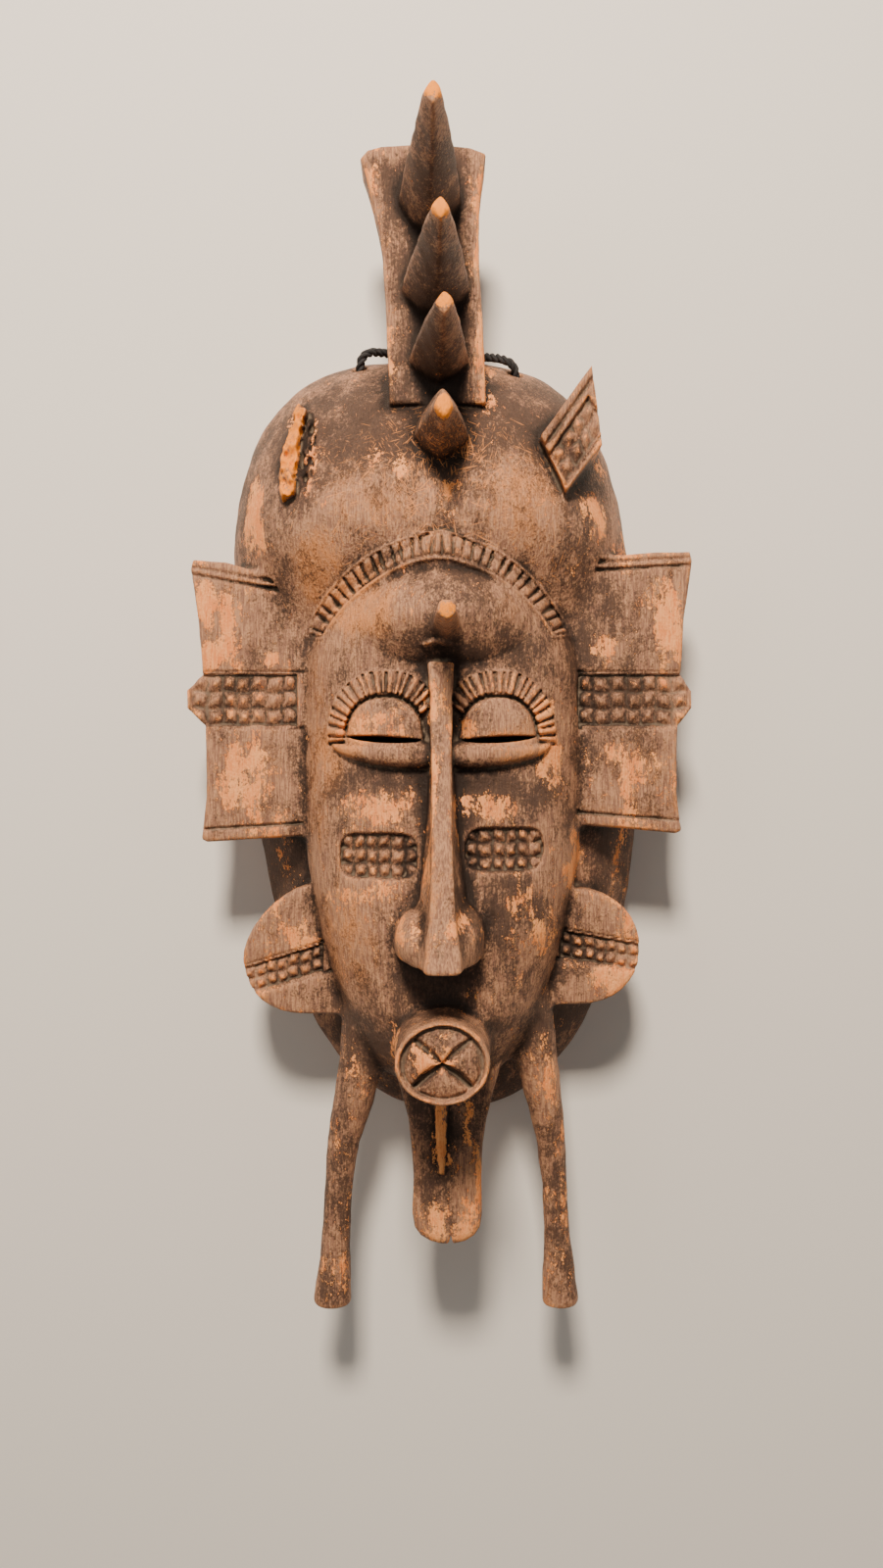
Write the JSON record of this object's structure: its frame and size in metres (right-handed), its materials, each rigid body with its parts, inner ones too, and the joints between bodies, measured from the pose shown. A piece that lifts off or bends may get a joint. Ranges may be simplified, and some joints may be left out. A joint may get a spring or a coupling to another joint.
{
  "type": "senufo kpelie mask",
  "caption": "Carved wooden face mask with a hollow back, horned crest, side wings, notched brows, tubular mouth, slender legs under the chin and a hanging cord behind the crest.",
  "frame": {"origin": "under the middle of the carving's box, in the plane of the back rim", "axes": "+Y from the legs to the crest, +Z out of the face, +X to the right as seen from the front"},
  "size_m": [0.1608, 0.3656, 0.095],
  "materials": {
    "wood": "dark worn patina, dry",
    "cord": "black twisted cord"
  },
  "bodies": {
    "root": {"mask": "wood", "hanging_cord": "cord", "cord_knot_left": "cord", "cord_knot_right": "cord"}
  },
  "joints": []
}
